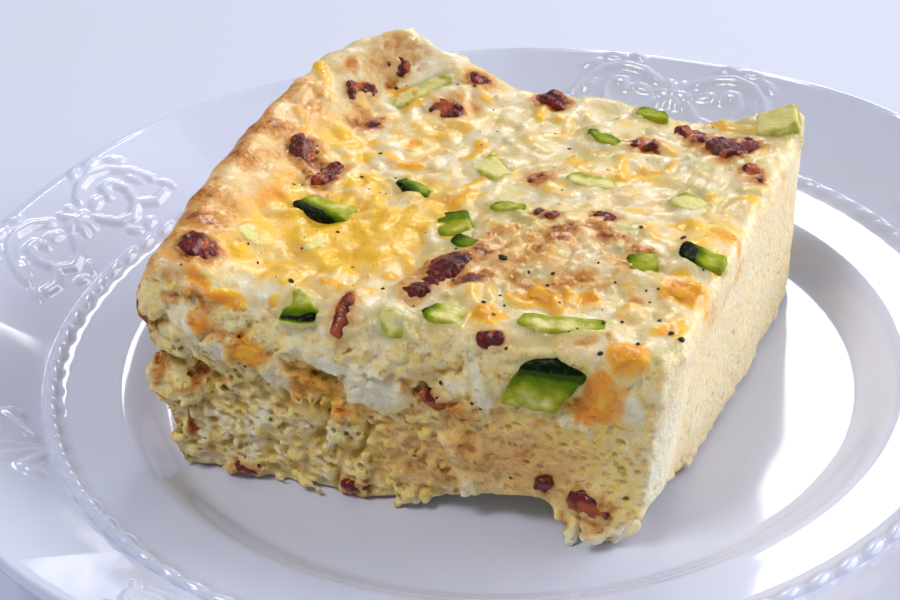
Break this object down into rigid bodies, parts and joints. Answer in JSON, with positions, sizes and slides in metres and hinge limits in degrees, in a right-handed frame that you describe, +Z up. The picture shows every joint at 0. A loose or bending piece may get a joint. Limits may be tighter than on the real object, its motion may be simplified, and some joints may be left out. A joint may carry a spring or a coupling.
{
  "type": "egg bake slice on a plate",
  "caption": "Thick square slice of baked egg with courgette, bacon and melted cheese, one browned pan side, on a round embossed plate.",
  "frame": {"origin": "middle of the plate's foot ring, at the table", "axes": "+Z up, +X along the slice's front cut face from the browned pan side to the near corner, +Y from the front cut face to the back"},
  "size_m": [0.2076, 0.2076, 0.053],
  "materials": {
    "porcelain": "glossy white glazed porcelain with embossed rim",
    "egg": "moist baked egg, spongy at the cut faces, browned and glossy on top",
    "courgette": "cooked courgette, dark green skin and pale green flesh",
    "bacon": "crisp fried bacon, oily",
    "cheese": "melted orange cheese, waxy"
  },
  "bodies": {
    "root": {"plate": "porcelain", "egg_slice": "egg", "courgette_1": "courgette", "courgette_2": "courgette", "courgette_3": "courgette", "courgette_4": "courgette", "courgette_5": "courgette", "courgette_6": "courgette", "courgette_7": "courgette", "courgette_8": "courgette", "courgette_9": "courgette", "courgette_10": "courgette", "courgette_11": "courgette", "courgette_12": "courgette", "courgette_13": "courgette", "courgette_14": "courgette", "courgette_15": "courgette", "courgette_16": "courgette", "courgette_17": "courgette", "courgette_18": "courgette", "courgette_19": "courgette", "courgette_20": "courgette", "courgette_21": "courgette", "bacon_1": "bacon", "bacon_2": "bacon", "bacon_3": "bacon", "bacon_4": "bacon", "bacon_5": "bacon", "bacon_6": "bacon", "bacon_7": "bacon", "bacon_8": "bacon", "bacon_9": "bacon", "bacon_10": "bacon", "bacon_11": "bacon", "bacon_12": "bacon", "bacon_13": "bacon", "bacon_14": "bacon", "bacon_15": "bacon", "bacon_16": "bacon", "bacon_17": "bacon", "bacon_18": "bacon", "bacon_19": "bacon", "bacon_20": "bacon", "bacon_21": "bacon", "bacon_22": "bacon", "bacon_23": "bacon", "bacon_24": "bacon", "cheese_1": "cheese", "cheese_2": "cheese", "cheese_3": "cheese", "cheese_4": "cheese", "cheese_5": "cheese", "cheese_6": "cheese", "cheese_7": "cheese"}
  },
  "joints": []
}
